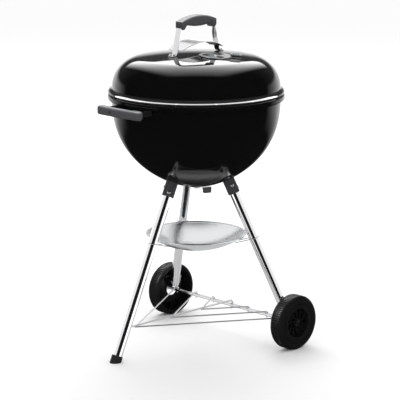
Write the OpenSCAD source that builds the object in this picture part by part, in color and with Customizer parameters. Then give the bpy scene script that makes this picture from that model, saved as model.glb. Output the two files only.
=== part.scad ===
// Kettle charcoal grill on a tripod with two wheels.
// Millimetres, +Z up, X along the wheel axle, -Y towards the fixed leg and the bowl handle.
// The origin is on the floor, under the middle of the outer box.
// Everything is drawn about the bowl's axis and then moved along Y by mid_y.

/* [Sizes] */
// Outer diameter of the bowl's lip
rim_d = 490; // [420:1:600]
// Height of the bowl's lip above the floor
rim_z = 711; // [600:1:850]
// Depth of the bowl below the top of its wall
bowl_depth = 256.7; // [210:0.1:320]
// Radius on the floor at which the leg axes arrive
foot_r = 307.6; // [270:0.1:380]
// Height of the lid crown above its shoulder centre
lid_rise = 96; // [75:1:130]

/* [Bowl and lid] */
// Sheet thickness of the bowl and the lid
sheet = 1.5; // [0.8:0.1:3]
// Step from the bowl's side wall out to the lip
lip_step = 10.6; // [8:0.1:16]
// Radius of the lid's shoulder
shoulder_r = 84.8; // [50:0.1:120]
// Number of air holes in the bowl's bottom
vent_n = 3; // [2:1:4]
// Diameter of each air hole
vent_hole_d = 26; // [16:1:32]
// Radius of the ring of air holes
vent_ring_r = 42; // [36:1:50]

/* [Stand] */
// Leg tube diameter
leg_d = 27; // [22:0.5:32]
// Leg tube wall
leg_wall = 1.5; // [1:0.1:3]
// Length of the leg sockets under the bowl
socket_len = 41; // [30:1:60]
// Diameter of the leg sockets
socket_d = 34; // [31:0.5:40]
// Wheel diameter
wheel_d = 154; // [130:1:180]
// Wheel width
wheel_w = 40; // [30:1:50]
// Axle diameter
axle_d = 10; // [8:0.5:12]
// Number of ribs in each wheel hub
hub_ribs = 10; // [6:1:14]

/* [Ash dish] */
// Radius of the ash dish's rim
dish_r = 141; // [110:1:150]
// Depth of the ash dish
dish_depth = 45; // [30:1:60]
// Height of the ash dish's rim
dish_z = 312; // [280:1:340]

/* [Grates] */
// Wire thickness of the cooking grate's bars
cook_bar_d = 4.5; // [3:0.5:7]
// Spacing of the cooking grate's bars
cook_pitch = 14.6; // [12:0.1:20]
// Outer radius of the charcoal grate
coal_r = 173; // [140:1:178]
// Spacing of the charcoal grate's bars
coal_pitch = 22; // [18:1:30]

/* [Handles and damper] */
// Length of the lid handle's grip
grip_len = 135; // [110:1:150]
// Height of the grip's top above the lid crown
grip_rise = 103.4; // [90:0.1:120]
// Length of the bowl handle's grip
side_grip_len = 168; // [130:1:190]
// Reach of the bowl handle beyond the lip
side_grip_reach = 53; // [45:1:65]
// Diameter of the lid's damper disc
damper_d = 89; // [70:1:100]
// Distance of the damper from the lid's axis
damper_x = 75; // [68:1:95]

/* [Fits] */
// Radial clearance of a turning fit
run = 0.06; // [0.02:0.01:0.1]
// Gap between separate pieces that do not touch
gap = 0.4; // [0.3:0.05:1]

/* [Hidden] */
$fn = 96;
rim_r = rim_d/2;
side_r = rim_r - lip_step;
wall_top = rim_z - 8.5;
bowl_pz = 2.381;
bowl_pr = 1.67;
function bowl_z(r) =
    wall_top - bowl_depth*pow(1 - pow(r/side_r, bowl_pr), 1/bowl_pz);
function bowl_in_r(z) = (side_r - sheet)*pow(
    1 - pow((wall_top - z)/(bowl_depth - sheet), bowl_pz), 1/bowl_pr);
function bowl_in_z(r) = wall_top
    - (bowl_depth - sheet)*pow(1 - pow(r/(side_r - sheet), bowl_pr), 1/bowl_pz);
bowl_n = 26;
function bowl_pts(w) = [for (i = [0:bowl_n]) let (t = 90*i/bowl_n)
    [(side_r - w)*pow(sin(t), 2/bowl_pr),
     wall_top - (bowl_depth - w)*pow(cos(t), 2/bowl_pz)]];

// lid: upright wall, shoulder arc and crown arc, tangent to one another
lid_r = side_r - 1.1;
lid_sz = wall_top + 25.1;
crown_x = lid_r - shoulder_r;
crown_k = lid_rise - shoulder_r;
crown_r = (pow(crown_x, 2) + pow(crown_k, 2))/(2*crown_k) + shoulder_r;
crown_z = lid_sz + lid_rise - crown_r;
function lid_z(r) = crown_z + sqrt(pow(crown_r, 2) - r*r);
lid_top = lid_sz + lid_rise;

// legs: straight from the floor to the bowl, square to its surface
leg_top_r = 0.397*side_r;
leg_top_z = bowl_z(leg_top_r);
leg_tilt = atan2(foot_r - leg_top_r, leg_top_z);
leg_len = leg_top_z/cos(leg_tilt);
function leg_r(z) = foot_r - z*tan(leg_tilt);
cap_r = leg_d/2 + gap + 1.5;
foot_reach = foot_r + cap_r/cos(leg_tilt);
mid_y = (foot_reach - rim_r)/2;

// wheels and axle
wheel_r = wheel_d/2;
axle_z = wheel_r;
leg_ax = leg_r(axle_z)*cos(30);
axle_y = leg_r(axle_z)*sin(30);
leg_end_s = (axle_z + axle_d/2 + 13)/cos(leg_tilt);
end_r = leg_r(leg_end_s*cos(leg_tilt));
plate_x = end_r*cos(30) + leg_d/2*cos(leg_tilt)*cos(30) + 7;
plate_t = 2.4;
hub_in = plate_x + plate_t + 2.3;
wheel_x = hub_in - 2;
wheel_out = wheel_x + wheel_w/2;

// damper and handles
dmp_tilt = asin(damper_x/crown_r);
dmp_t = 1.2;
dmp_az = 46;
rivet_r = 3;
grip_top = lid_top + grip_rise;
strap_t = 3;
strap_w = 19;
foot_y = 89;
strap_in = 66;
strap_z = grip_top - 34;
side_grip_y = rim_r + side_grip_reach;
side_grip_z = rim_z - 23;
arm_x = side_grip_len/2 - 22;

// grates
cook_r = side_r - sheet - 5.9;
ring_d = 6;
cook_z = rim_z - 31;
coal_z = wall_top - 0.6019*bowl_depth;
tab_t = 3;

// air vent in the bowl's bottom
lever_az = -17;
bowl_low = wall_top - bowl_depth;
shaft_r = 4;

// ---------- helpers ----------

// flat strip drawn through points, with mitred corners
function unit(v) = v/norm(v);
function mitre(p, h) = [for (i = [0:len(p) - 1]) let (
    a = unit(i > 0 ? p[i] - p[i - 1] : p[1] - p[0]),
    b = i < len(p) - 1 ? unit(p[i + 1] - p[i]) : a,
    n = [-a[1] - b[1], a[0] + b[0]]) p[i] + n*2*h/(n*n)];
function back(p) = [for (i = [len(p) - 1:-1:0]) p[i]];
module strip(pts, t) polygon(concat(mitre(pts, t/2), back(mitre(pts, -t/2))));

// round bar between two points
module rod(a, b, d) {
    v = b - a;
    translate(a) rotate([0, acos(v[2]/norm(v)), atan2(v[1], v[0])])
        cylinder(h = norm(v), d = d);
}

// place a leg piece: local +Z runs up the leg from the floor, local +X is outward
module on_leg(az) rotate([0, 0, az]) translate([foot_r, 0, 0]) rotate([0, -leg_tilt, 0])
    children();

// the bowl's volume inside a skin w thick
module bowl_body(w) rotate_extrude()
    polygon(concat(bowl_pts(w), [[0, wall_top]]));

// extrude a YZ drawing along X, centred
module along_x(w) translate([-w/2, 0, 0]) rotate([90, 0, 90]) linear_extrude(w) children();

// ---------- bowl ----------

bowl_lip = [[side_r - sheet/2, wall_top + 1], [side_r - sheet/2, rim_z - 3.6],
    [rim_r - 4.7, rim_z - sheet/2], [rim_r - 1.6, rim_z - 2], [rim_r - sheet/2, rim_z - 5],
    [rim_r - sheet/2, rim_z - 12.5], [rim_r - 3.2, rim_z - 15], [rim_r - 6.4, rim_z - 14.2]];
module bowl_shell() color("#101011") difference() {
    rotate_extrude() polygon(concat(bowl_pts(0), mitre(bowl_lip, -sheet/2),
        back(mitre(bowl_lip, sheet/2)), back(bowl_pts(sheet))));
    translate([0, 0, bowl_low - 5]) cylinder(h = 12, r = shaft_r + run);
    for (i = [0:vent_n - 1]) rotate([0, 0, lever_az + 360*i/vent_n])
        translate([vent_ring_r, 0, bowl_low - 5]) cylinder(h = 40, d = vent_hole_d);
}

module bowl_handle_bracket() color("#151516") difference() {
    translate([0, 0, side_grip_z - 8]) linear_extrude(16)
        strip([[-arm_x, -side_r*0.9], [-arm_x, -side_grip_y + 14],
            [-arm_x + 8, -side_grip_y + 8], [arm_x - 8, -side_grip_y + 8],
            [arm_x, -side_grip_y + 14], [arm_x, -side_r*0.9]], 3);
    translate([0, 0, side_grip_z - 12]) cylinder(h = 24, r = side_r - sheet/2);
}

module bowl_handle_grip() color("#4a4a4c") difference() {
    translate([0, 0, side_grip_z - 12]) linear_extrude(24) difference() {
        union() {
            translate([-side_grip_len/2 + 13, -side_grip_y + 2]) square([side_grip_len - 26, 24]);
            for (s = [-1, 1]) translate([s*(side_grip_len/2 - 13), -side_grip_y + 13.6])
                circle(r = 13);
            intersection() {
                translate([0, -side_grip_y + 1170]) circle(r = 1170, $fn = 1440);
                translate([-side_grip_len/2 + 13, -side_grip_y - 1]) square([side_grip_len - 26, 14]);
            }
        }
        translate([-arm_x + 14, -side_grip_y + 20]) square([2*arm_x - 28, 20]);
    }
    translate([-25, -side_grip_y + 4, side_grip_z]) rotate([90, 0, 0]) cylinder(h = 12, r = 3.4);
}

module bowl_handle_screw() color("#2a2a2b")
    translate([-25, -side_grip_y + 9, side_grip_z]) rotate([90, 0, 0]) cylinder(h = 5.8, r = 2.9);

// ---------- stand ----------

module socket(az) color("#39393b") difference() {
    on_leg(az) translate([0, 0, leg_len - socket_len]) difference() {
        cylinder(h = socket_len + 6, d = socket_d);
        translate([0, 0, -1]) cylinder(h = socket_len - 7, d = leg_d + 2*gap);
    }
    bowl_body(sheet/2);
}
module leg_socket_front() socket(-90);
module leg_socket_right() socket(30);
module leg_socket_left() socket(150);

module socket_screws() color("#d8d8da")
    for (az = [-90, 30, 150]) on_leg(az) for (q = [[45, 11], [-62, 24]])
        translate([0, 0, leg_len - socket_len + q[1]]) rotate([0, 90, q[0]])
            translate([0, 0, socket_d/2 - 2]) {
                cylinder(h = 4.2, r = 4);
                translate([0, 0, 4.2]) cylinder(h = 1.2, r1 = 4, r2 = 2.6);
            }

module leg_tube(az, s0) color("#e4e4e6") on_leg(az) difference() {
    translate([0, 0, s0]) cylinder(h = leg_len - 8.6 - s0, d = leg_d);
    translate([0, 0, s0 - 1]) cylinder(h = leg_len - s0, d = leg_d - 2*leg_wall);
}

rack_z = axle_z + axle_d/2 + gap + 2.4;
spine_z = rack_z + 3.5;
module front_leg() color("#e4e4e6") difference() {
    leg_tube(-90, 9);
    translate([0, -leg_r(spine_z), spine_z]) rotate([-90, 0, 0])
        cylinder(h = 40, r = 2.5 + gap);
}
module right_wheel_leg() leg_tube(30, leg_end_s);
module left_wheel_leg() leg_tube(150, leg_end_s);

module leg_end_cap() color("#151516") difference() {
    on_leg(-90) difference() {
        translate([0, 0, -20]) cylinder(h = 38.5, r = cap_r);
        translate([0, 0, 8.4]) cylinder(h = 40, r = leg_d/2 + gap);
    }
    translate([0, -foot_r, -30]) cube([120, 120, 60], center = true);
}

fl_y = leg_d/2 + gap;
lean = atan(tan(leg_tilt)*sin(30));
module axle_bracket(s) color("#dedee0") translate([0, axle_y, axle_z]) rotate([lean, 0, 0])
    difference() {
        union() {
            translate([s*(plate_x + plate_t/2), 0, 0]) rotate([0, 90, 0]) {
                cylinder(h = plate_t, r = 20, center = true);
                translate([-22, 0, 0]) cube([44, 2*fl_y + 4, plate_t], center = true);
            }
            for (q = [-1, 1]) translate([0, q*(fl_y + 1), 0]) rotate([90, 0, 0])
                linear_extrude(2, center = true) polygon([
                    [s*(plate_x + 1), 15], [s*(plate_x - 23), 15],
                    [s*(plate_x - 35), 44], [s*(plate_x + 1), 44]]);
        }
        translate([s*plate_x, 0, 0]) rotate([0, 90, 0])
            cylinder(h = 30, r = axle_d/2 + gap, center = true);
    }
module left_axle_bracket() axle_bracket(-1);
module right_axle_bracket() axle_bracket(1);

rivet_up = 30;
module bracket_rivets() color("#c8c8ca") for (s = [-1, 1])
    translate([0, axle_y, axle_z]) rotate([lean, 0, 0])
        translate([s*leg_r(axle_z + rivet_up*cos(lean))*cos(30), 0, rivet_up])
            rotate([90, 0, 0]) {
                cylinder(h = 2*fl_y + 4, r = 2.6, center = true);
                for (q = [-1, 1]) translate([0, 0, q*(fl_y + 2.7)])
                    cylinder(h = 2, r = 4.6, center = true);
            }

module axle() color("#d6d6d8") translate([0, axle_y, axle_z]) rotate([0, 90, 0])
    cylinder(h = 2*(wheel_out - 3.4), d = axle_d, center = true);

module axle_caps() color("#d8d8da") translate([0, axle_y, axle_z]) for (s = [0, 180])
    rotate([0, 90, s]) translate([0, 0, wheel_out - 5 + gap]) union() {
        cylinder(h = 2.4, r = 8);
        translate([0, 0, 2.4]) cylinder(h = 1.6, r1 = 8, r2 = 5.6);
    }

// local +X of the wheel drawing is outboard
module wheel_solid() rotate([0, 90, 0]) difference() {
    union() {
        rotate_extrude() difference() {
            union() {
                translate([wheel_r - 13, 9 - wheel_w/2]) square([13, wheel_w - 18]);
                translate([wheel_r - 13, -wheel_w/2]) square([4, wheel_w]);
                for (s = [-1, 1]) translate([wheel_r - 9, s*(wheel_w/2 - 9)]) circle(r = 9);
                translate([0.53*wheel_r, wheel_w/2 - 5.5]) square([0.36*wheel_r, 5.5]);
                translate([0.53*wheel_r, 3]) square([3, wheel_w/2 - 3]);
                translate([axle_d/2 + run, 3]) square([0.53*wheel_r - axle_d/2, 3]);
                translate([axle_d/2 + run, 2]) square([6, wheel_w/2 - 7]);
            }
            for (q = [-10, -3.4, 3.4, 10]) translate([wheel_r - 1.4, q - 0.8]) square([3, 1.6]);
            translate([0.735*wheel_r, wheel_w/2 - 1]) square([1.6, 2]);
            translate([wheel_r - 22, -wheel_w/2 - 1]) square([9, wheel_w - 4.5]);
        }
        for (i = [0:hub_ribs - 1]) rotate([0, 0, 360*i/hub_ribs]) {
            translate([axle_d/2 + 4, -1.1, 5]) cube([0.53*wheel_r - axle_d/2 - 3, 2.2, 9]);
            translate([0.53*wheel_r + 2, -1.1, 4]) cube([0.3*wheel_r, 2.2, wheel_w/2 - 8]);
        }
    }
    cylinder(h = 3*wheel_w, r = axle_d/2 + run, center = true);
}
module wheel_right() color("#19191a")
    translate([wheel_x, axle_y, axle_z]) wheel_solid();
module wheel_left() color("#19191a")
    translate([-wheel_x, axle_y, axle_z]) rotate([0, 0, 180]) wheel_solid();

module hook(up, w) rotate([0, 90, 0]) rotate([0, 0, 10])
    rotate_extrude(angle = 190) translate([up, 0]) circle(r = w);
module bottom_rack() color("#d2d2d4") {
    $fn = 32;
    rod([0, -leg_r(spine_z) + 3, spine_z], [0, axle_y, spine_z], 5);
    translate([0, axle_y, axle_z]) hook(spine_z - axle_z, 2.9);
    for (q = [[-233, 226], [-98.5, 144], [21, 71]]) let (v = [0, q[0]*foot_r/307.6, rack_z], x = q[1]*leg_ax/236) {
        translate(v) sphere(d = 5.2);
        for (s = [-1, 1]) let (p = [s*x, axle_y, rack_z]) {
            rod(v, p, 4);
            translate([s*x, axle_y, axle_z]) hook(rack_z - axle_z, 2.4);
        }
    }
}

module ash_dish() color("#c9cacc") {
    sph = (dish_r*dish_r + dish_depth*dish_depth)/2/dish_depth;
    rotate_extrude() union() {
        intersection() {
            translate([0, dish_z - dish_depth + sph]) difference() {
                circle(r = sph, $fn = 360);
                circle(r = sph - 1.3, $fn = 360);
            }
            translate([0, dish_z - 2*dish_depth]) square([dish_r + 5, 2*dish_depth]);
        }
        translate([dish_r - 0.6, dish_z]) circle(r = 2);
    }
}

clip_z = dish_z - 3;
clip_r = dish_r - 23;
clip_fall = atan2(14, leg_r(clip_z) - clip_r);
module ash_clip(az) color("#b9babc") {
    cr = leg_d/2 + gap + 1.6;
    rotate([0, 0, az]) translate([leg_r(clip_z), 0, clip_z]) rotate([0, -clip_fall, 0]) {
        rotate([0, 0, -90]) rotate_extrude(angle = 180) translate([cr, 0]) circle(r = 1.5);
        for (s = [-1, 1]) rod([0, s*cr, 0], [-(leg_r(clip_z) - clip_r)/cos(clip_fall), s*cr, 0], 3);
    }
}
module ash_clip_front() ash_clip(-90);
module ash_clip_right() ash_clip(30);
module ash_clip_left() ash_clip(150);

// ---------- inside the bowl ----------

module tabs(n, a0, r, z) intersection() {
    for (i = [0:n - 1]) rotate([0, 0, a0 + 360*i/n])
        translate([r - 12, -11, z - ring_d/2 - gap - tab_t]) cube([60, 22, tab_t]);
    bowl_body(sheet/2);
}
module cooking_grate_tabs() color("#151516") tabs(4, 45, cook_r, cook_z);
module charcoal_grate_tabs() color("#151516") tabs(3, 90, coal_r, coal_z);

module grate(r, z, d, pitch) {
    c = r - ring_d/2;
    n = floor((c - 18)/pitch);
    translate([0, 0, z]) rotate_extrude() translate([c, 0]) circle(d = ring_d);
    for (i = [-n:n]) let (y = i*pitch, h = sqrt(c*c - y*y)) rod([-h, y, z], [h, y, z], d);
    for (s = [-1, 1]) let (x = s*0.42*r, h = sqrt(c*c - x*x), q = z - d/2 - 1.6)
        rod([x, -h, q], [x, h, q], 5);
}
module cooking_grate() color("#b5b6b8") grate(cook_r, cook_z, cook_bar_d, cook_pitch);
module charcoal_grate() color("#6f6f71") grate(coal_r, coal_z, 5.4, coal_pitch);

blade_r = vent_ring_r + vent_hole_d/2 + 8;
module vent_sweeper() color("#a9aaac") difference() {
    union() {
        translate([0, 0, bowl_in_z(16) + 0.6]) cylinder(h = 2, r = 16);
        for (i = [0:vent_n - 1]) rotate([0, 0, lever_az + 360*i/vent_n])
            rotate([90, 0, 0]) linear_extrude(vent_hole_d + 8, center = true)
                strip([[9, bowl_in_z(16) + 2.2], [16, bowl_in_z(16) + 2.4],
                    [blade_r, bowl_in_z(blade_r) + 4.2]], 1.6);
    }
    translate([0, 0, bowl_low]) cylinder(h = 40, r = shaft_r - 0.3);
}
module vent_shaft() color("#b5b6b8") translate([0, 0, bowl_low - 7.6]) {
    cylinder(h = bowl_in_z(16) - bowl_low + 12, r = shaft_r);
    cylinder(h = 2.6, r = 7, $fn = 6);
    translate([0, 0, bowl_in_z(16) - bowl_low + 10.4]) cylinder(h = 2.4, r = 7);
}
module vent_lever() color("#b5b6b8") rotate([0, 0, lever_az]) difference() {
    rotate([90, 0, 0]) linear_extrude(16, center = true)
        strip([[-8, bowl_low - 3.8], [8, bowl_low - 3.4], [66, bowl_low + 6.4]], 2);
    translate([0, 0, bowl_low - 20]) cylinder(h = 40, r = shaft_r - 0.3);
}
module vent_lever_tab() color("#505153") rotate([0, 0, lever_az])
    rotate([0, 90, 0]) translate([-bowl_low - 2.4, 0, 62]) linear_extrude(7) union() {
        translate([-8, -12]) square([13, 24]);
        for (s = [-1, 1]) translate([4, s*8]) circle(r = 4);
        translate([4, -8]) square([4, 16]);
    }

// ---------- lid ----------

// the lid's outline from its upright wall to the crown, shrunk by w
shoulder_a = atan2(lid_sz - crown_z, crown_x);
function lid_pts(w) = concat(
    [for (i = [0:20]) let (a = shoulder_a*i/20)
        [crown_x + (shoulder_r - w)*cos(a), lid_sz + (shoulder_r - w)*sin(a)]],
    [for (i = [1:12]) let (a = shoulder_a + (90 - shoulder_a)*i/12)
        [i == 12 ? 0 : (crown_r - w)*cos(a), crown_z + (crown_r - w)*sin(a)]]);
lid_edge = [[rim_r - 9.2, rim_z + 1.7], [rim_r - 5.9, rim_z + sheet/2 + gap],
    [rim_r - 2.8, rim_z + 2.4], [rim_r - 1.1, rim_z + 5.6], [rim_r - 2.2, rim_z + 9.4],
    [rim_r - 5.6, rim_z + 12.2], [lid_r + 1.6, rim_z + 13.2],
    [lid_r - sheet/2, rim_z + 15.2]];

module lid_shell() color("#101011") difference() {
    rotate_extrude() polygon(concat(mitre(lid_edge, -sheet/2), lid_pts(0),
        back(lid_pts(sheet)), back(mitre(lid_edge, sheet/2))));
    on_damper() for (i = [0:2]) rotate([0, 0, dmp_az + 60 + 120*i])
        translate([damper_d*0.29, 0, -20]) cylinder(h = 40, d = damper_d*0.24);
}

module on_damper() translate([damper_x, 0, lid_z(damper_x)]) rotate([0, dmp_tilt, 0])
    children();

module lid_damper() color("#d4d5d7") on_damper() rotate([0, 0, dmp_az]) difference() {
    union() {
        translate([0, 0, gap]) cylinder(h = dmp_t, d = damper_d);
        translate([damper_d/2 - 6, -8, gap]) cube([32, 16, dmp_t]);
        translate([damper_d/2 - 1, -8, gap]) cube([27, dmp_t, 15]);
    }
    translate([0, 0, -1]) cylinder(h = 6, r = rivet_r + run);
    for (i = [0:2]) rotate([0, 0, 60 + 120*i])
        translate([damper_d*0.29, 0, -1]) cylinder(h = 6, d = damper_d*0.24);
}

module damper_rivet() color("#d8d8da") on_damper() {
    translate([0, 0, -sheet - 2]) cylinder(h = sheet + 2 + gap + dmp_t + 0.4, r = rivet_r);
    translate([0, 0, gap + dmp_t + 0.3]) cylinder(h = 1.8, r1 = 6, r2 = 4);
    translate([0, 0, -sheet - 3]) cylinder(h = 1.4, r = 6);
}

strap_foot_z = lid_z(foot_y - 7) + gap + strap_t/2;
module lid_handle_bracket() color("#dedee0") along_x(strap_w) {
    half = [[foot_y + 9, lid_z(foot_y + 9) + gap + strap_t/2], [foot_y - 7, strap_foot_z],
        [strap_in, strap_z], [strap_in - 4, grip_top - 21], [20, grip_top - 15]];
    strip(concat([for (p = half) [-p[0], p[1]]], [for (i = [4:-1:0]) half[i]]), strap_t);
}

// grip: arched on top, with a finger stop under each end
grip_h = grip_len/2;
grip_side = concat(
    [for (i = [-12:12]) let (y = i*grip_h/12) [y, grip_top - 170 + sqrt(28900 - y*y)]],
    [[grip_h, grip_top - 31], [grip_h - 4, grip_top - 35], [grip_h - 9, grip_top - 37],
        [grip_h - 14, grip_top - 36]],
    [for (i = [8:-1:-8]) let (y = i*(grip_h - 23)/8)
        [y, grip_top - 30 + 5.5*pow(y/(grip_h - 23), 2)]],
    [[14 - grip_h, grip_top - 36], [9 - grip_h, grip_top - 37], [4 - grip_h, grip_top - 35],
        [-grip_h, grip_top - 31]]);
function round_box(x, y, r) = [for (k = [0:3], i = [0:6]) let (a = 90*k + 15*i)
    [(k == 0 || k == 3 ? x - r : r - x) + r*cos(a), (k < 2 ? y - r : r - y) + r*sin(a)]];
module lid_handle_grip() color("#4a4a4c") intersection() {
    along_x(28) polygon(grip_side);
    translate([0, 0, grip_top - 50]) linear_extrude(60) polygon(round_box(14, grip_h, 9));
}

shield_h = 20;
shield_y = 79.5;
shield_R = (shield_y*shield_y + shield_h*shield_h)/2/shield_h;
shield_top = lid_top + 32.6;
module lid_heat_shield() color("#d6d7d9") intersection() {
    along_x(90) intersection() {
        translate([0, shield_top - shield_R]) difference() {
            circle(r = shield_R, $fn = 360);
            circle(r = shield_R - 1.3, $fn = 360);
        }
        translate([-shield_y, shield_top - 30]) square([2*shield_y, 40]);
    }
    translate([0, 0, shield_top - 40]) linear_extrude(60) intersection() {
        translate([-289, 0]) circle(r = 325, $fn = 720);
        translate([289, 0]) circle(r = 325, $fn = 720);
    }
}

module lid_handle_bolts() color("#d8d8da") for (s = [-1, 1], x = [-5.6, 5.6])
    translate([x, s*(foot_y + 2), lid_z(foot_y + 2)]) {
        translate([0, 0, -sheet - 3]) cylinder(h = sheet + 8, r = 2);
        translate([0, 0, gap + strap_t - 0.4]) cylinder(h = 3.6, r = 4.2);
        translate([0, 0, -sheet - 3.6]) cylinder(h = 2.8, r = 4.2, $fn = 6);
    }

module lid_hanging_hook() color("#b9babc") intersection() {
    rotate([90, 0, 180]) linear_extrude(16, center = true)
        strip([[lid_r + 4, lid_sz + 26], [lid_r - 22, lid_sz + 20],
            [lid_r - 32, lid_sz - 2], [lid_r - 22, lid_sz - 12]], 2.4);
    rotate_extrude() polygon(concat([[0, 0], [lid_r - sheet/2, 0]], lid_pts(sheet/2)));
}

translate([0, mid_y, 0]) {
    bowl_shell();
    bowl_handle_bracket();
    bowl_handle_grip();
    bowl_handle_screw();
    leg_socket_front();
    leg_socket_left();
    leg_socket_right();
    socket_screws();
    front_leg();
    left_wheel_leg();
    right_wheel_leg();
    leg_end_cap();
    left_axle_bracket();
    right_axle_bracket();
    bracket_rivets();
    axle();
    axle_caps();
    bottom_rack();
    ash_dish();
    ash_clip_front();
    ash_clip_left();
    ash_clip_right();
    cooking_grate_tabs();
    charcoal_grate_tabs();
    wheel_left();
    wheel_right();
    vent_sweeper();
    vent_shaft();
    vent_lever();
    vent_lever_tab();
    charcoal_grate();
    cooking_grate();
    lid_shell();
    lid_handle_bracket();
    lid_handle_grip();
    lid_heat_shield();
    lid_handle_bolts();
    lid_hanging_hook();
    damper_rivet();
    lid_damper();
}
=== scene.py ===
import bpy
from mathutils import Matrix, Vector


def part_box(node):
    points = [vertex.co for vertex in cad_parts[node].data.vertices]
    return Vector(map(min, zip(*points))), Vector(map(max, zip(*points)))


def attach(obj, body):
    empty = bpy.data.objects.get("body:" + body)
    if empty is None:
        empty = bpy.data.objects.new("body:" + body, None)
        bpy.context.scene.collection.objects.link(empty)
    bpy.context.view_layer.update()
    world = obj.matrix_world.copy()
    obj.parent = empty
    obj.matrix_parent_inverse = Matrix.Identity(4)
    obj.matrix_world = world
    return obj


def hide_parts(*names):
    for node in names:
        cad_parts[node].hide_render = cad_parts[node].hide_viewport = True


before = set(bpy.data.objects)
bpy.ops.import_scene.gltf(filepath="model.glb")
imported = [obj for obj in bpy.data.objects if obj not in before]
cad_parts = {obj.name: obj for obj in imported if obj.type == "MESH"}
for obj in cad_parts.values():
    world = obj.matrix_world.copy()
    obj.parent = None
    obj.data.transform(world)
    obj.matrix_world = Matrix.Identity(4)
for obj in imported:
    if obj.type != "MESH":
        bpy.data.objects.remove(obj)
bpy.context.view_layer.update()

import math
import bmesh
import bpy
from mathutils import Matrix, Vector

scene = bpy.context.scene

# ---- The studio --------------------------------------------------------------
# A white room with a white floor, one large soft box above and behind the grill,
# and long soft strips at its sides that the polished tubes mirror.

camera = bpy.data.objects.new("camera", bpy.data.cameras.new("camera"))
scene.collection.objects.link(camera)
camera.data.lens, camera.data.sensor_width = 163.14, 36
camera.data.shift_x, camera.data.shift_y = 0.0094, -0.001
camera.data.clip_end = 200
camera.location = (3.56125, -3.41011, 1.50771)
camera.rotation_euler = (Vector((0, 0.03976, 0.408)) - camera.location).to_track_quat("-Z", "Y").to_euler()
scene.camera = camera
scene.view_settings.view_transform = "Standard"
to_lens = Vector((0.718, -0.696, 0))
to_right = Vector((0.696, 0.718, 0))
grill_mid = Vector((0, 0.03976, 0))


def wire(tree, *pairs):
    """Join pairs of sockets in one node tree."""
    for out, into in pairs:
        tree.links.new(out, into)


room = bpy.data.worlds.new("room")
scene.world = room
room.use_nodes = True
room.cycles.sampling_method = "NONE"
sky = room.node_tree
sky.nodes.clear()
ray = sky.nodes.new("ShaderNodeLightPath")
where = sky.nodes.new("ShaderNodeTexCoord")
behind, height = sky.nodes.new("ShaderNodeVectorMath"), sky.nodes.new("ShaderNodeSeparateXYZ")
behind.operation = "DOT_PRODUCT"
behind.inputs[1].default_value = -to_lens
round_back, above, dim, both, less, lift = (sky.nodes.new(kind) for kind in (
    "ShaderNodeMapRange", "ShaderNodeMapRange", "ShaderNodeMapRange", "ShaderNodeMath", "ShaderNodeMath",
    "ShaderNodeMath"))
# Pieces mirror a bright strip of sky behind them, which dims to almost nothing overhead.
dim.inputs["From Min"].default_value, dim.inputs["From Max"].default_value = 0.06, 0.17
dim.inputs["To Min"].default_value, dim.inputs["To Max"].default_value = 1, 0.07
round_back.inputs["From Min"].default_value, round_back.inputs["From Max"].default_value = 0.35, 0.85
above.inputs["From Min"].default_value, above.inputs["From Max"].default_value = -0.42, -0.2
above.inputs["To Max"].default_value = 1.1
both.operation, less.operation, lift.operation = "MULTIPLY", "MULTIPLY", "ADD"
lift.inputs[1].default_value = 0.012
soft, dark, plain = (sky.nodes.new("ShaderNodeBackground") for _ in range(3))
soft.inputs["Strength"].default_value = 1.35
plain.inputs["Color"].default_value = (1, 1, 1, 1)
dark.inputs["Color"].default_value = (1, 1, 1, 1)
pick_dark, pick_plain = (sky.nodes.new("ShaderNodeMixShader") for _ in range(2))
leave = sky.nodes.new("ShaderNodeOutputWorld")
wire(sky, (where.outputs["Generated"], behind.inputs[0]), (where.outputs["Generated"], height.inputs[0]),
     (behind.outputs["Value"], round_back.inputs["Value"]), (height.outputs["Z"], above.inputs["Value"]),
     (round_back.outputs["Result"], both.inputs[0]), (above.outputs["Result"], both.inputs[1]),
     (both.outputs[0], less.inputs[0]), (height.outputs["Z"], dim.inputs["Value"]),
     (dim.outputs["Result"], less.inputs[1]), (less.outputs[0], lift.inputs[0]),
     (lift.outputs[0], dark.inputs["Strength"]),
     (ray.outputs["Is Glossy Ray"], pick_dark.inputs[0]), (soft.outputs[0], pick_dark.inputs[1]),
     (dark.outputs[0], pick_dark.inputs[2]), (ray.outputs["Is Camera Ray"], pick_plain.inputs[0]),
     (pick_dark.outputs[0], pick_plain.inputs[1]), (plain.outputs[0], pick_plain.inputs[2]),
     (pick_plain.outputs[0], leave.inputs["Surface"]))


def lamp_card(name, centre, normal, across, tall, strength, seen_by):
    """A soft rectangular lamp that lights only the pieces in one group."""
    lamp = bpy.data.lights.new(name, "AREA")
    lamp.shape, lamp.size, lamp.size_y = "RECTANGLE", across, tall
    lamp.energy = strength*across*tall*math.pi
    obj = bpy.data.objects.new(name, lamp)
    scene.collection.objects.link(obj)
    obj.location = centre
    obj.rotation_euler = (-normal).to_track_quat("Z", "Y").to_euler()
    obj.visible_camera = False
    obj.light_linking.receiver_collection = seen_by


floor_mesh = bmesh.new()
bmesh.ops.create_grid(floor_mesh, x_segments=1, y_segments=1, size=30)
floor = bpy.data.objects.new("floor", bpy.data.meshes.new("floor"))
floor_mesh.to_mesh(floor.data)
floor_mesh.free()
scene.collection.objects.link(floor)
white_floor = bpy.data.materials.new("white_floor")
white_floor.use_nodes = True
white_floor.node_tree.nodes["Principled BSDF"].inputs["Base Color"].default_value = (0.9, 0.9, 0.9, 1)
white_floor.node_tree.nodes["Principled BSDF"].inputs["Roughness"].default_value = 1
white_floor.node_tree.nodes["Principled BSDF"].inputs["Specular IOR Level"].default_value = 0
floor.data.materials.append(white_floor)
floor.visible_glossy = False
floor.visible_shadow = False

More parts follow.
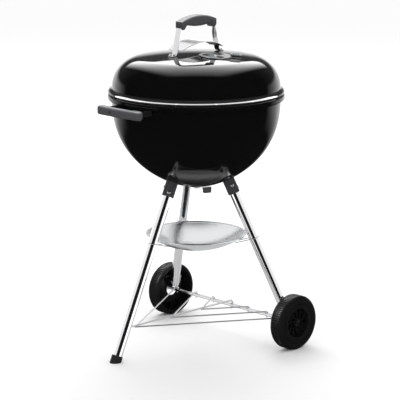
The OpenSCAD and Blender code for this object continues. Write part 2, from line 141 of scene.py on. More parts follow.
bright_metal, grips, rolled_edge, tyres, front_bits = (bpy.data.collections.new(name) for name in (
    "bright_metal", "grips", "rolled_edge", "tyres", "front_bits"))
up = Vector((0, 0, 1))
box_rise, box_far = math.radians(62), 3.0
box_way = -to_lens*math.cos(box_rise) + up*math.sin(box_rise)
box_wide, box_tall = 4.6, 5.2
panel = bmesh.new()
bmesh.ops.create_grid(panel, x_segments=1, y_segments=1, size=0.5)
bmesh.ops.scale(panel, vec=(box_wide, box_tall, 1), verts=panel.verts)
soft_box = bpy.data.objects.new("soft_box", bpy.data.meshes.new("soft_box"))
panel.to_mesh(soft_box.data)
panel.free()
scene.collection.objects.link(soft_box)
soft_box.location = grill_mid + up*0.75 + box_way*box_far
soft_box.rotation_euler = (-box_way).to_track_quat("Z", "Y").to_euler()
glow = bpy.data.materials.new("soft_box_glow")
glow.use_nodes = True
glow.node_tree.nodes.clear()
place, split, level, away, sides, both, lamp, out = (glow.node_tree.nodes.new(kind) for kind in (
    "ShaderNodeTexCoord", "ShaderNodeSeparateXYZ", "ShaderNodeMapRange", "ShaderNodeMath", "ShaderNodeMapRange",
    "ShaderNodeMath", "ShaderNodeEmission", "ShaderNodeOutputMaterial"))
away.operation, both.operation, sides.interpolation_type = "ABSOLUTE", "MULTIPLY", "SMOOTHSTEP"
sides.inputs["From Min"].default_value, sides.inputs["From Max"].default_value = 0.9, box_wide/2
sides.inputs["To Min"].default_value, sides.inputs["To Max"].default_value = 1, 0
level.inputs["From Min"].default_value, level.inputs["From Max"].default_value = -box_tall/2, box_tall/2
level.inputs["To Min"].default_value, level.inputs["To Max"].default_value = 4.8, 0.0
wire(glow.node_tree, (place.outputs["Object"], split.inputs[0]), (split.outputs["Y"], level.inputs["Value"]),
     (split.outputs["X"], away.inputs[0]), (away.outputs[0], sides.inputs["Value"]),
     (level.outputs["Result"], both.inputs[0]), (sides.outputs["Result"], both.inputs[1]),
     (both.outputs[0], lamp.inputs["Strength"]), (lamp.outputs[0], out.inputs["Surface"]))
soft_box.data.materials.append(glow)
soft_box.visible_camera = False
soft_box.visible_shadow = False
not_soft_box = bpy.data.collections.new("not_soft_box")
for group in (bright_metal, rolled_edge):
    not_soft_box.children.link(group)
for entry in not_soft_box.collection_children:
    entry.light_linking.link_state = "EXCLUDE"
soft_box.light_linking.receiver_collection = not_soft_box

# Each lamp: name, centre, the way it faces, width, height, brightness and the group that it lights.
lamp_card("metal_top", grill_mid + up*0.75 + box_way*2.6, -box_way, 3.6, 4.0, 1.05, bright_metal)
lamp_card("back_card", grill_mid - to_lens*4 + up*1.2, to_lens, 6, 3, 0.45, bright_metal)
lamp_card("floor_back", grill_mid - to_lens*2.4 - up*0.02, up, 4.4, 4.4, 0.6, bright_metal)
for side in (-1, 1):
    lamp_card("tube_card", grill_mid + side*to_right*2.2 + up*1.1, -side*to_right, 6, 3.6, 0.95, bright_metal)
    lamp_card("floor_side", grill_mid + side*to_right*4.2 + to_lens*1.0 - up*0.02, up, 6, 6, 0.75, bright_metal)
lamp_card("grip_card", grill_mid - to_lens*0.6 + up*3.4, -up, 2.6, 2.6, 9.0, grips)
lamp_card("front_card", grill_mid + to_lens*3 + up*1.2, -to_lens, 3, 3, 0.75, front_bits)
lamp_card("tyre_card", grill_mid - to_right*1.4 + to_lens*0.6 + up*1.7,
          (to_right*1.4 - to_lens*0.6 - up*1.6).normalized(), 1.2, 1.2, 9.0, tyres)
for turned in range(-100, 101, 50):
    way = to_lens*math.cos(math.radians(turned)) + to_right*math.sin(math.radians(turned))
    lamp_card("edge_card", grill_mid + way*3.4 + up*1.6, -way, 3.3, 3.2, 14.0, rolled_edge)

# ---- The bowl ----------------------------------------------------------------
# A deep bowl pressed from 1.5 mm steel sheet, its rim turned out and rolled down to a
# stiff lip, with three air holes in the bottom. It is fired in glossy black enamel.

mid = 0.039763
rim_r, rim_z, sheet = 0.245, 0.711, 0.0015
side_r, wall_top, bowl_depth = rim_r - 0.0106, rim_z - 0.0085, 0.2567


def surface(name, colour, metal, rough, patch=(12, 0.06), tooth=(900, 0.1, 0.0002), stretch=(1, 1, 1), spread=0.03):
    """A finish with cloudy changes of shade and gloss and a fine tooth."""
    made = bpy.data.materials.new(name)
    made.use_nodes = True
    tree = made.node_tree
    body = tree.nodes["Principled BSDF"]
    body.inputs["Metallic"].default_value = metal
    place, lay = tree.nodes.new("ShaderNodeTexCoord"), tree.nodes.new("ShaderNodeMapping")
    lay.inputs["Scale"].default_value = stretch
    cloud, fine = tree.nodes.new("ShaderNodeTexNoise"), tree.nodes.new("ShaderNodeTexNoise")
    cloud.inputs["Scale"].default_value = patch[0]
    cloud.inputs["Detail"].default_value = 4
    fine.inputs["Scale"].default_value = tooth[0]
    fine.inputs["Detail"].default_value = 3
    shade = tree.nodes.new("ShaderNodeMix")
    shade.data_type = "RGBA"
    low, high = (tuple(min(1, c*(1 + q*patch[1])) for c in colour) + (1,) for q in (-1, 1))
    shade.inputs["A"].default_value, shade.inputs["B"].default_value = low, high
    gloss, bump = tree.nodes.new("ShaderNodeMapRange"), tree.nodes.new("ShaderNodeBump")
    gloss.inputs["To Min"].default_value, gloss.inputs["To Max"].default_value = rough - spread, rough + spread
    bump.inputs["Strength"].default_value = tooth[1]
    bump.inputs["Distance"].default_value = tooth[2]
    wire(tree, (place.outputs["Object"], lay.inputs[0]), (lay.outputs[0], cloud.inputs["Vector"]),
         (lay.outputs[0], fine.inputs["Vector"]), (cloud.outputs["Fac"], shade.inputs["Factor"]),
         (shade.outputs["Result"], body.inputs["Base Color"]), (cloud.outputs["Fac"], gloss.inputs["Value"]),
         (gloss.outputs["Result"], body.inputs["Roughness"]), (fine.outputs["Fac"], bump.inputs["Height"]),
         (bump.outputs[0], body.inputs["Normal"]))
    return made


def soften(points, passes=2):
    """Round the corners of an open outline."""
    for _ in range(passes):
        cut = [points[0]]
        for a, b in zip(points, points[1:]):
            cut += [tuple(0.75*p + 0.25*q for p, q in zip(a, b)), tuple(0.25*p + 0.75*q for p, q in zip(a, b))]
        points = cut + [points[-1]]
    return points


def turn(outline, closed=False, steps=128, axis_y=mid):
    """Spin an outline of (radius, height) about the upright axis."""
    bm = bmesh.new()
    verts = [bm.verts.new((r, 0, z)) for r, z in outline]
    for a, b in zip(verts, verts[1:] + (verts[:1] if closed else [])):
        bm.edges.new((a, b))
    bmesh.ops.spin(bm, geom=bm.verts[:] + bm.edges[:], cent=(0, 0, 0), axis=(0, 0, 1), angle=2*math.pi,
                   steps=steps, use_merge=True)
    bmesh.ops.remove_doubles(bm, verts=bm.verts, dist=1e-6)
    bmesh.ops.recalc_face_normals(bm, faces=bm.faces)
    bmesh.ops.translate(bm, vec=(0, axis_y, 0), verts=bm.verts)
    return bm


def settle(bm, name, material, body, nodes=(), crease=35, group=None):
    """Turn finished mesh work into a piece that rides on its body."""
    mesh = bpy.data.meshes.new(name)
    bm.to_mesh(mesh)
    bm.free()
    obj = bpy.data.objects.new(name, mesh)
    scene.collection.objects.link(obj)
    mesh.materials.append(material)
    mesh.shade_smooth()
    mesh.set_sharp_from_angle(angle=math.radians(crease))
    if group:
        group.objects.link(obj)
    if nodes:
        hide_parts(*nodes)
    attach(obj, body)
    return obj


def crisp(obj, crease=35):
    """Smooth the faces but keep every edge sharper than the crease."""
    obj.data.shade_smooth()
    obj.data.set_sharp_from_angle(angle=math.radians(crease))


def apply_changes(obj):
    """Bake an object's modifiers into its mesh."""
    bpy.context.view_layer.update()
    done = bpy.data.meshes.new_from_object(obj.evaluated_get(bpy.context.evaluated_depsgraph_get()))
    obj.modifiers.clear()
    old = obj.data
    obj.data = done
    bpy.data.meshes.remove(old)


def cut_away(obj, bm):
    """Cut one closed mesh out of a piece."""
    mesh = bpy.data.meshes.new("cutter")
    bm.to_mesh(mesh)
    bm.free()
    tool = bpy.data.objects.new("cutter", mesh)
    scene.collection.objects.link(tool)
    job = obj.modifiers.new("cut", "BOOLEAN")
    job.operation = "DIFFERENCE"
    job.solver = "EXACT"
    job.object = tool
    apply_changes(obj)
    bpy.data.objects.remove(tool)
    bpy.data.meshes.remove(mesh)


def thicken(obj, thickness, bevel=0):
    """Give a skin its sheet thickness, half to each side."""
    wall = obj.modifiers.new("wall", "SOLIDIFY")
    wall.thickness, wall.offset, wall.use_even_offset = thickness, 0, True
    if bevel:
        edge = obj.modifiers.new("edge", "BEVEL")
        edge.width, edge.segments, edge.limit_method = bevel, 2, "ANGLE"
    apply_changes(obj)


def bowl_curve(w, n=48):
    """The bowl's outline from the middle out, drawn w inside its outer face."""
    half = [math.pi/2*i/n for i in range(n + 1)]
    return [((side_r - w)*math.sin(t)**(2/1.67), wall_top - (bowl_depth - w)*max(0, math.cos(t))**(2/2.381))
            for t in half]


enamel = surface("black_enamel", (0.003, 0.003, 0.0032), 0, 0.07, (9, 0.15), (260, 0.045, 0.0003), spread=0.02)
enamel.node_tree.nodes["Principled BSDF"].inputs["IOR"].default_value = 1.62
lip = [(side_r - sheet/2, wall_top + 0.001), (side_r - sheet/2, rim_z - 0.0036), (rim_r - 0.0047, rim_z - sheet/2),
       (rim_r - 0.0016, rim_z - 0.002), (rim_r - sheet/2, rim_z - 0.005), (rim_r - sheet/2, rim_z - 0.0125),
       (rim_r - 0.0032, rim_z - 0.015), (rim_r - 0.0064, rim_z - 0.0142)]
bowl = settle(turn(bowl_curve(sheet/2) + soften(lip), steps=192), "bowl", enamel, "stand",
              ["bowl_shell"])
thicken(bowl, sheet)
air_hole_r, air_ring_r = 0.013, 0.042
for i in range(3):
    a = math.radians(-17 + 120*i)
    hole = bmesh.new()
    bmesh.ops.create_cone(hole, cap_ends=True, segments=48, radius1=air_hole_r, radius2=air_hole_r, depth=0.05,
                          matrix=Matrix.Translation((air_ring_r*math.cos(a), mid + air_ring_r*math.sin(a), 0.455)))
    cut_away(bowl, hole)
crisp(bowl)

# ---- The bowl handle ---------------------------------------------------------
# A U of flat black steel welded to the front of the bowl, with a grip of grey
# glass-filled nylon pushed over it and held by one screw from the front.

nylon = surface("grey_nylon", (0.062, 0.063, 0.066), 0, 0.45, (40, 0.08), (1500, 0.35, 0.0004), spread=0.06)
bracket_black = surface("black_bracket", (0.012, 0.012, 0.013), 0, 0.28, (30, 0.1), (900, 0.12, 0.0002))
screw_dark = surface("dark_screw", (0.02, 0.02, 0.02), 1, 0.4, (300, 0.2), (1200, 0.2, 0.0002))


def dress(node, material, group=None):
    """Give a carried-over CAD node its finish."""
    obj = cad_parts[node]
    obj.data.materials.clear()
    obj.data.materials.append(material)
    if group:
        group.objects.link(obj)


def slab(outline, z0, z1, bevel, segments):
    """Raise a closed outline into a block with rounded top and bottom edges."""
    bm = bmesh.new()
    face = bm.faces.new([bm.verts.new((x, y, z0)) for x, y in outline])
    bmesh.ops.recalc_face_normals(bm, faces=bm.faces)
    top = bmesh.ops.extrude_face_region(bm, geom=[face])
    bmesh.ops.translate(bm, vec=(0, 0, z1 - z0), verts=[v for v in top["geom"] if isinstance(v, bmesh.types.BMVert)])
    bmesh.ops.recalc_face_normals(bm, faces=bm.faces)
    edges = [e for e in bm.edges if any(abs(f.normal.z) > 0.9 for f in e.link_faces)]
    bmesh.ops.bevel(bm, geom=edges, offset=bevel, affect="EDGES", segments=segments, profile=0.5, material=-1)
    return bm


grip_y, grip_half, grip_z = rim_r + 0.053, 0.084, rim_z - 0.023
grip_bow, grip_end = 1.170, 0.013
front_arc = [(x, -grip_y + grip_bow - math.sqrt(grip_bow**2 - x*x)) for x in [i*0.0075 - 0.0675 for i in range(19)]]
outline = [(x, y + mid) for x, y in front_arc]
for i in range(11):
    a = math.radians(-80 + 15*i)
    outline.append((grip_half - grip_end + grip_end*math.cos(a), mid - grip_y + 0.0145 + grip_end*math.sin(a)))
outline += [(0.05, mid - grip_y + 0.0262), (0.044, mid - grip_y + 0.0205), (-0.044, mid - grip_y + 0.0205),
            (-0.05, mid - grip_y + 0.0262)]
for i in range(11):
    a = math.radians(110 + 15*i)
    outline.append((-grip_half + grip_end + grip_end*math.cos(a), mid - grip_y + 0.0145 + grip_end*math.sin(a)))
bowl_grip = settle(slab(outline, grip_z - 0.012, grip_z + 0.012, 0.0065, 7), "bowl_grip", nylon, "stand",
                   ["bowl_handle_grip"], crease=50, group=grips)
hole = bmesh.new()
bmesh.ops.create_cone(hole, cap_ends=True, segments=40, radius1=0.0034, radius2=0.0034, depth=0.014,
                      matrix=Matrix.Translation((-0.025, mid - grip_y + 0.001, grip_z))
                      @ Matrix.Rotation(math.pi/2, 4, "X"))
cut_away(bowl_grip, hole)
crisp(bowl_grip, 50)
dress("bowl_handle_bracket", bracket_black)
dress("bowl_handle_screw", screw_dark)

# ---- The leg sockets ---------------------------------------------------------
# Three short steel cups welded to the bowl, square to its curve. They are painted dark
# grey, and two bright screws in each hold the leg tube.

foot_r = 0.3076
leg_top_r = 0.397*side_r
leg_top_z = wall_top - bowl_depth*(1 - (leg_top_r/side_r)**1.67)**(1/2.381)
leg_tilt = math.atan2(foot_r - leg_top_r, leg_top_z)
leg_len = leg_top_z/math.cos(leg_tilt)
socket_grey = surface("grey_socket", (0.05, 0.05, 0.053), 0, 0.3, (60, 0.1), (1100, 0.15, 0.0002))
fastener = surface("bright_fastener", (0.8, 0.8, 0.81), 1, 0.14, (400, 0.06), (1500, 0.1, 0.0001))


def leg_place(az):
    """The leg's own frame: its Z runs up the tube from the floor."""
    return (Matrix.Translation((0, mid, 0)) @ Matrix.Rotation(math.radians(az), 4, "Z")
            @ Matrix.Translation((foot_r, 0, 0)) @ Matrix.Rotation(-leg_tilt, 4, "Y"))


def sleeve(az, low, high, outer, inner, edge):
    """A turned sleeve on a leg's axis with broken edges."""
    bm = turn([(outer - edge, low), (outer, low + edge), (outer, high), (inner, high), (inner, low + edge/2),
               (inner + edge/2, low)], closed=True, steps=96, axis_y=0)
    bmesh.ops.transform(bm, matrix=leg_place(az), verts=bm.verts)
    return bm


leg_az = {"front": -90, "right": 30, "left": 150}
tube_r, tube_bore_r = 0.0135, 0.012
for name, az in leg_az.items():
    cup = settle(sleeve(az, leg_len - 0.041, leg_len + 0.004, 0.017, 0.0139, 0.0008), "socket_" + name, socket_grey,
                 "stand", ["leg_socket_" + name])
    cut_away(cup, turn(bowl_curve(sheet/2) + [(0, wall_top)], closed=True, steps=192))
    crisp(cup)
dress("socket_screws", fastener, bright_metal)

# ---- The legs ----------------------------------------------------------------
# Three straight steel tubes, polished and chromed. The front one is longest and
# stands in a black cap; the two at the back stop above the axle.

chrome = surface("chrome_tube", (0.86, 0.86, 0.87), 1, 0.075, (30, 0.03), (700, 0.02, 0.0001), spread=0.02)
end_s = 0.095/math.cos(leg_tilt)
for name, side, low in (("front_leg", "front", 0.009), ("right_wheel_leg", "right", end_s),
                        ("left_wheel_leg", "left", end_s)):
    settle(sleeve(leg_az[side], low, leg_len - 0.0086, tube_r, tube_bore_r, 0.0004), name + "_tube", chrome, "stand",
           [name], group=bright_metal)
foot_black = surface("black_cap", (0.02, 0.02, 0.021), 0, 0.42, (40, 0.1), (1200, 0.25, 0.0003))
foot = turn([(0, -0.02), (0.0154, -0.02), (0.0154, 0.0172), (0.0151, 0.0181), (0.0143, 0.0185), (0.0139, 0.0181),
             (0.0139, 0.0084), (0, 0.0084)], steps=96, axis_y=0)
bmesh.ops.transform(foot, matrix=leg_place(leg_az["front"]), verts=foot.verts)
bmesh.ops.bisect_plane(foot, geom=foot.verts[:] + foot.edges[:] + foot.faces[:], plane_co=(0, 0, 0),
                       plane_no=(0, 0, 1), clear_inner=True)
bmesh.ops.holes_fill(foot, edges=[e for e in foot.edges if e.is_boundary], sides=0)
bmesh.ops.recalc_face_normals(foot, faces=foot.faces)
settle(foot, "foot_cap", foot_black, "stand", ["leg_end_cap"])

# ---- The axle ----------------------------------------------------------------
# A plated steel rod through a pressed fork on each back leg. The forks are riveted to
# the tubes, and domed push-on caps keep the wheels on.

plated = surface("plated_steel", (0.74, 0.74, 0.75), 1, 0.18, (60, 0.06), (800, 0.08, 0.0002))
for node in ("left_axle_bracket", "right_axle_bracket", "bracket_rivets", "axle"):
    dress(node, plated, bright_metal)
dress("axle_caps", fastener)

# ---- The wheels --------------------------------------------------------------
# Hollow wheels blown and moulded in black plastic, with grooves and cross bars in the
# tread, a stepped side wall and thin ribs round a sunk hub.

wheel_r, wheel_w = 0.077, 0.040
axle_y = (foot_r - wheel_r*math.tan(leg_tilt))*math.sin(math.radians(30)) + mid
wheel_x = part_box("wheel_right")[1].x - wheel_w/2
rubber = surface("wheel_plastic", (0.008, 0.008, 0.0083), 0, 0.3, (50, 0.15), (1100, 0.25, 0.0003), spread=0.05)


def rib(length, thick, tall, place):
    """One thin moulded rib with soft edges."""
    bm = bmesh.new()
    bmesh.ops.create_cube(bm, size=1)
    bmesh.ops.scale(bm, vec=(length, thick, tall), verts=bm.verts)
    bmesh.ops.bevel(bm, geom=bm.edges[:], offset=0.0004, affect="EDGES", segments=2, profile=0.5, material=-1)
    bmesh.ops.transform(bm, matrix=place, verts=bm.verts)
    mesh = bpy.data.meshes.new("rib")
    bm.to_mesh(mesh)
    bm.free()
    return mesh


def wheel(side):
    """One wheel, turned from its outline, with ribs set in the hub and bars across the tread."""
    hub_r, bore = 0.53*wheel_r, 0.00506
    tread = []
    for q in (-0.0115, -0.0045, 0.0025, 0.0095):
        tread += [(wheel_r - 0.0014, q), (wheel_r - 0.0028, q + 0.0004), (wheel_r - 0.0028, q + 0.0016),
                  (wheel_r - 0.0014, q + 0.002)]
    round_r = 0.009
    shoulder = [(wheel_r - round_r + round_r*math.sin(math.radians(a)),
                 wheel_w/2 - round_r + round_r*math.cos(math.radians(a))) for a in range(0, 90, 15)]
    outline = ([(bore, 0.015), (0.0105, 0.015), (0.0115, 0.014), (0.0115, 0.0062), (hub_r - 0.0015, 0.0062),
                (hub_r - 0.0002, 0.0075), (hub_r, wheel_w/2 - 0.001), (hub_r + 0.0012, wheel_w/2),
                (0.70*wheel_r, wheel_w/2), (0.71*wheel_r, wheel_w/2 - 0.0012), (0.73*wheel_r, wheel_w/2 - 0.0012),
                (0.74*wheel_r, wheel_w/2), (0.84*wheel_r, wheel_w/2)]
               + shoulder + tread[::-1] + [(r, -q) for r, q in shoulder[::-1]]
               + [(wheel_r - 0.013, -wheel_w/2 + 0.0006), (wheel_r - 0.013, wheel_w/2 - 0.0055),
                  (hub_r + 0.003, wheel_w/2 - 0.0055), (hub_r + 0.003, 0.003), (0.0115, 0.003), (0.0115, 0.002),
                  (bore, 0.002)])
    bm = turn(outline, closed=True, steps=144, axis_y=0)
    for i in range(10):
        spin = Matrix.Rotation(math.radians(36*i), 4, "Z")
        for k in range(4):
            r0 = 0.014 + 0.0066*k
            lean = math.radians(7*k - 8)
            place = (spin @ Matrix.Rotation(lean*0.8, 4, "Z") @ Matrix.Translation((r0, 0, 0.0095))
                     @ Matrix.Rotation(0.16, 4, "Z"))
            bm.from_mesh(rib(0.0078, 0.0022, 0.009, place))
        bm.from_mesh(rib(0.019, 0.0022, 0.013, spin @ Matrix.Translation((hub_r + 0.0105, 0, 0.0095))))
    for i in range(72):
        place = Matrix.Rotation(math.radians(5*i), 4, "Z") @ Matrix.Translation((wheel_r - 0.00145, 0, 0))
        bm.from_mesh(rib(0.0028, 0.0034, 0.0285, place))
    bmesh.ops.rotate(bm, cent=(0, 0, 0), matrix=Matrix.Rotation(side*math.pi/2, 3, "Y"), verts=bm.verts)
    bmesh.ops.translate(bm, vec=(side*wheel_x, axle_y, wheel_r), verts=bm.verts)
    return bm


for name, side in (("right", 1), ("left", -1)):
    settle(wheel(side), "wheel_" + name + "_moulding", rubber, name + "_wheel", ["wheel_" + name],
           group=tyres)

# ---- The bottom rack ---------------------------------------------------------
# Plated steel wires welded into nested V shapes on one longer middle wire, which goes
# into the front leg. Their ends hook over the axle.

rack_wire = surface("rack_wire", (0.62, 0.62, 0.63), 1, 0.3, (80, 0.06), (900, 0.08, 0.0002))
dress("bottom_rack", rack_wire, bright_metal)

# ---- The ash dish ------------------------------------------------------------
# A shallow dish spun from bare aluminium sheet with a rolled rim, held between the legs
# by three spring wire clips.

dish_r, dish_depth, dish_z = 0.141, 0.045, 0.312
ball = (dish_r**2 + dish_depth**2)/2/dish_depth
dish_arc = [((ball - 0.00065)*math.sin(t), dish_z - dish_depth + ball - (ball - 0.00065)*math.cos(t))
            for t in [math.asin((dish_r - 0.002)/ball)*i/40 for i in range(41)]]
roll = [(dish_r - 0.0006 + 0.00135*math.cos(t), dish_z + 0.00135*math.sin(t))
        for t in [math.radians(-90 + 30*i) for i in range(11)]]


def spun(name, colour, rough):
    """Bare metal with the fine rings that a turning lathe leaves."""
    made = surface(name, colour, 1, rough, (14, 0.05), (900, 0.05, 0.0001), spread=0.05)
    tree = made.node_tree
    body = tree.nodes["Principled BSDF"]
    place, centre = tree.nodes.new("ShaderNodeTexCoord"), tree.nodes.new("ShaderNodeMapping")
    centre.inputs["Location"].default_value = (0, -mid, 0)
    flat, reach = tree.nodes.new("ShaderNodeVectorMath"), tree.nodes.new("ShaderNodeVectorMath")
    flat.operation, reach.operation = "MULTIPLY", "LENGTH"
    flat.inputs[1].default_value = (1, 1, 0)
    rings, bump = tree.nodes.new("ShaderNodeTexNoise"), tree.nodes.new("ShaderNodeBump")
    rings.noise_dimensions = "1D"
    rings.inputs["Scale"].default_value = 900
    rings.inputs["Detail"].default_value = 4
    bump.inputs["Strength"].default_value, bump.inputs["Distance"].default_value = 0.12, 0.0002
    wire(tree, (place.outputs["Object"], centre.inputs[0]), (centre.outputs[0], flat.inputs[0]),
         (flat.outputs[0], reach.inputs[0]), (reach.outputs["Value"], rings.inputs["W"]),
         (rings.outputs["Fac"], bump.inputs["Height"]), (bump.outputs[0], body.inputs["Normal"]))
    return made


aluminium = spun("aluminium", (0.80, 0.81, 0.82), 0.24)
dish = settle(turn(dish_arc + roll, steps=160), "dish", aluminium, "stand", ["ash_dish"],
              group=bright_metal)
thicken(dish, 0.0013)
crisp(dish, 50)
for node in ("ash_clip_front", "ash_clip_left", "ash_clip_right"):
    dress(node, plated, bright_metal)

# ---- The air vent ------------------------------------------------------------
# Three sprung aluminised blades inside the bowl sweep over the air holes. A lever under
# the bowl turns them, and it ends in a grey nylon tab.

vent_steel = surface("vent_steel", (0.6, 0.6, 0.6), 1, 0.3, (60, 0.08), (700, 0.1, 0.0002))
for node in ("vent_sweeper", "vent_shaft", "vent_lever"):
    dress(node, vent_steel, bright_metal)
dress("vent_lever_tab", nylon)

# ---- The grates --------------------------------------------------------------
# Round grates of welded steel wire: a plated one for cooking near the rim and a coarser,
# duller one for the charcoal. They rest on small black tabs welded inside the bowl.

grate_wire = surface("grate_steel", (0.66, 0.66, 0.67), 1, 0.2, (60, 0.08), (600, 0.08, 0.0002))
coal_wire = surface("charcoal_grate_steel", (0.26, 0.26, 0.265), 1, 0.42, (80, 0.2), (500, 0.2, 0.0003), spread=0.08)
dress("cooking_grate", grate_wire)
dress("charcoal_grate", coal_wire)
for node in ("cooking_grate_tabs", "charcoal_grate_tabs"):
    dress(node, bracket_black)

# ---- The lid -----------------------------------------------------------------
# A dome pressed from the same sheet and fired in the same enamel. Its edge is rolled
# outwards over the bowl's lip, and three holes let air out under the damper.

lid_r, lid_sz, lid_rise, shoulder_r = side_r - 0.0011, wall_top + 0.0251, 0.096, 0.0848
crown_x, crown_k = lid_r - shoulder_r, lid_rise - shoulder_r
crown_r = (crown_x**2 + crown_k**2)/(2*crown_k) + shoulder_r
crown_z = lid_sz + lid_rise - crown_r
shoulder_a = math.atan2(lid_sz - crown_z, crown_x)
lid_top = lid_sz + lid_rise


def lid_height(r):
    """Height of the crown's outer face at a distance from the middle."""
    return crown_z + math.sqrt(crown_r**2 - r*r)


w = sheet/2
edge = [(rim_r - 0.0092, rim_z + 0.0017), (rim_r - 0.0059, rim_z + sheet/2 + 0.0004),
        (rim_r - 0.0028, rim_z + 0.0024), (rim_r - 0.0011, rim_z + 0.0056), (rim_r - 0.0022, rim_z + 0.0094),
        (rim_r - 0.0056, rim_z + 0.0122), (lid_r + 0.0016, rim_z + 0.0132), (lid_r - sheet/2, rim_z + 0.0152)]
dome = [(crown_x + (shoulder_r - w)*math.cos(shoulder_a*i/28), lid_sz + (shoulder_r - w)*math.sin(shoulder_a*i/28))
        for i in range(29)]
dome += [((crown_r - w)*math.cos(a), crown_z + (crown_r - w)*math.sin(a))
         for a in [shoulder_a + (math.pi/2 - shoulder_a)*i/24 for i in range(1, 24)]] + [(0, crown_z + crown_r - w)]
lid = settle(turn([(lid_r - sheet/2, rim_z + 0.0152)] + dome, steps=192), "lid_dome", enamel, "lid",
             ["lid_shell"])
thicken(lid, sheet)
lid_edge = settle(turn(soften(edge), steps=192), "lid_edge", enamel, "lid", group=rolled_edge)
thicken(lid_edge, sheet)
crisp(lid_edge)
damper_x, damper_d = 0.075, 0.089
damper_place = (Matrix.Translation((damper_x, mid, lid_height(damper_x)))
                @ Matrix.Rotation(math.asin(damper_x/crown_r), 4, "Y"))


def damper_holes(depth):
    """The three holes that the lid and the damper share, as cutters."""
    for i in range(3):
        a = math.radians(106 + 120*i)
        bm = bmesh.new()
        bmesh.ops.create_cone(bm, cap_ends=True, segments=48, radius1=damper_d*0.12, radius2=damper_d*0.12,
                              depth=depth)
        bmesh.ops.translate(bm, vec=(damper_d*0.29*math.cos(a), damper_d*0.29*math.sin(a), 0), verts=bm.verts)
        bmesh.ops.transform(bm, matrix=damper_place, verts=bm.verts)
        yield bm


for hole in damper_holes(0.03):
    cut_away(lid, hole)
crisp(lid)

# ---- The lid handle ----------------------------------------------------------
# A flat steel strap bent into a tall arch and bolted through the crown, with an arched
# grey nylon grip round its top and a bright shield against the heat under it.

grip_top, strap_t, foot_y = lid_top + 0.1034, 0.003, 0.089
strap_path = [(foot_y + 0.009, lid_height(foot_y + 0.009) + 0.0019),
              (foot_y - 0.007, lid_height(foot_y - 0.007) + 0.0019),
              (0.066, grip_top - 0.034), (0.062, grip_top - 0.021), (0.020, grip_top - 0.015)]


def band(path, width, along=Matrix.Identity(4)):
    """A flat strip of no thickness drawn through (y, z) points, centred on X."""
    bm = bmesh.new()
    verts = [bm.verts.new((-width/2, y, z)) for y, z in path]
    edges = [bm.edges.new(pair) for pair in zip(verts, verts[1:])]
    out = bmesh.ops.extrude_edge_only(bm, edges=edges)
    bmesh.ops.translate(bm, vec=(width, 0, 0), verts=[v for v in out["geom"] if isinstance(v, bmesh.types.BMVert)])
    bmesh.ops.recalc_face_normals(bm, faces=bm.faces)
    bmesh.ops.transform(bm, matrix=along, verts=bm.verts)
    return bm


def bends(path, radius):
    """Round each corner of a path to about one bend radius."""
    out = [path[0]]
    for a, b, c in zip(path, path[1:], path[2:]):
        a, b, c = Vector(a), Vector(b), Vector(c)
        reach = min(radius, (a - b).length*0.45, (c - b).length*0.45)
        p, q = b + (a - b).normalized()*reach, b + (c - b).normalized()*reach
        for i in range(5):
            t = i/4
            out.append(tuple(p*(1 - t)**2 + b*2*t*(1 - t) + q*t*t))
    return out + [path[-1]]


whole = [(-y, z) for y, z in strap_path] + strap_path[::-1]
strap = settle(band([(y + mid, z) for y, z in bends(whole, 0.006)], 0.019), "strap", plated, "lid",
               ["lid_handle_bracket"], group=bright_metal)
thicken(strap, strap_t, 0.0006)
crisp(strap)

half = 0.0675
side = [(y, grip_top - 0.170 + math.sqrt(0.0289 - y*y)) for y in [i*half/16 for i in range(-16, 17)]]
side += [(half, grip_top - 0.031), (half - 0.004, grip_top - 0.035), (half - 0.009, grip_top - 0.037),
         (half - 0.014, grip_top - 0.036)]
side += [(y, grip_top - 0.030 + 0.0055*(y/(half - 0.023))**2) for y in [i*(half - 0.023)/8 for i in range(8, -9, -1)]]
side += [(0.014 - half, grip_top - 0.036), (0.009 - half, grip_top - 0.037), (0.004 - half, grip_top - 0.035),
         (-half, grip_top - 0.031)]
grip = slab(side, -0.014, 0.014, 0.0055, 6)
bmesh.ops.transform(grip, matrix=Matrix(((0, 0, 1, 0), (1, 0, 0, mid), (0, 1, 0, 0), (0, 0, 0, 1))), verts=grip.verts)
settle(grip, "lid_grip", nylon, "lid", ["lid_handle_grip"], crease=50, group=grips)

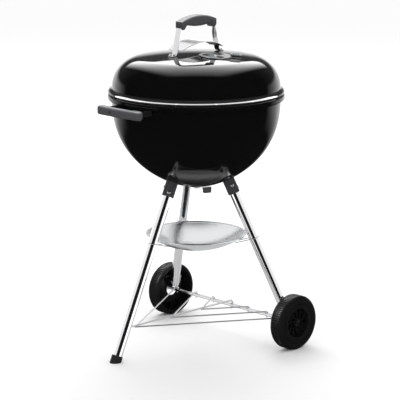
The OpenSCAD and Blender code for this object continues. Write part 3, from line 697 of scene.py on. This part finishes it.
shield_steel = surface("shield_steel", (0.82, 0.82, 0.83), 1, 0.16, (30, 0.05), (900, 0.06, 0.0002),
                       stretch=(1, 0.15, 1))
shield_y, shield_rise, shield_top = 0.0795, 0.020, lid_top + 0.0326
shield_R = (shield_y**2 + shield_rise**2)/2/shield_rise
plate = bmesh.new()
bmesh.ops.create_grid(plate, x_segments=12, y_segments=40, size=1)
for v in plate.verts:
    y = v.co.y*(shield_y - 0.0003)
    v.co = (v.co.x*(math.sqrt(0.325**2 - y*y) - 0.289), y + mid,
            shield_top - 0.00065 - shield_R + math.sqrt(shield_R**2 - y*y))
shield = settle(plate, "heat_shield", shield_steel, "lid", ["lid_heat_shield"], group=bright_metal)
thicken(shield, 0.0013, 0.0004)
crisp(shield)
dress("lid_handle_bolts", fastener, bright_metal)
dress("lid_hanging_hook", plated)

# ---- The damper --------------------------------------------------------------
# A stamped aluminium disc with three holes that turns on a rivet over the lid's holes.
# An arm at its edge is turned up along one side and pressed with two small dimples.

disc = turn([(0, 0.0004), (damper_d/2 - 0.0003, 0.0004), (damper_d/2, 0.0007), (damper_d/2, 0.0013),
             (damper_d/2 - 0.0003, 0.0016), (0, 0.0016)], steps=128, axis_y=0)
bmesh.ops.transform(disc, matrix=damper_place, verts=disc.verts)
damper = settle(disc, "damper_disc", aluminium, "damper", ["lid_damper"], group=bright_metal)
for hole in damper_holes(0.03):
    cut_away(damper, hole)
crisp(damper)
tab_way = damper_place @ Matrix.Rotation(math.radians(46), 4, "Z")
tab_path = bends([(0.008, 0.0010), (-0.0074, 0.0010), (-0.0074, 0.0154)], 0.0025)
tab = settle(band(tab_path, 0.030, tab_way @ Matrix.Translation((damper_d/2 + 0.011, 0, 0))), "damper_tab", aluminium,
             "damper", group=bright_metal)
thicken(tab, 0.0012, 0.0004)
for x in (0.0475, 0.0615):
    dimple = bmesh.new()
    bmesh.ops.create_uvsphere(dimple, u_segments=24, v_segments=12, radius=0.0021)
    bmesh.ops.transform(dimple, matrix=tab_way @ Matrix.Translation((x, -0.0091, 0.0095)), verts=dimple.verts)
    cut_away(tab, dimple)
crisp(tab)
front_bits.objects.link(tab)
dress("damper_rivet", fastener, bright_metal)
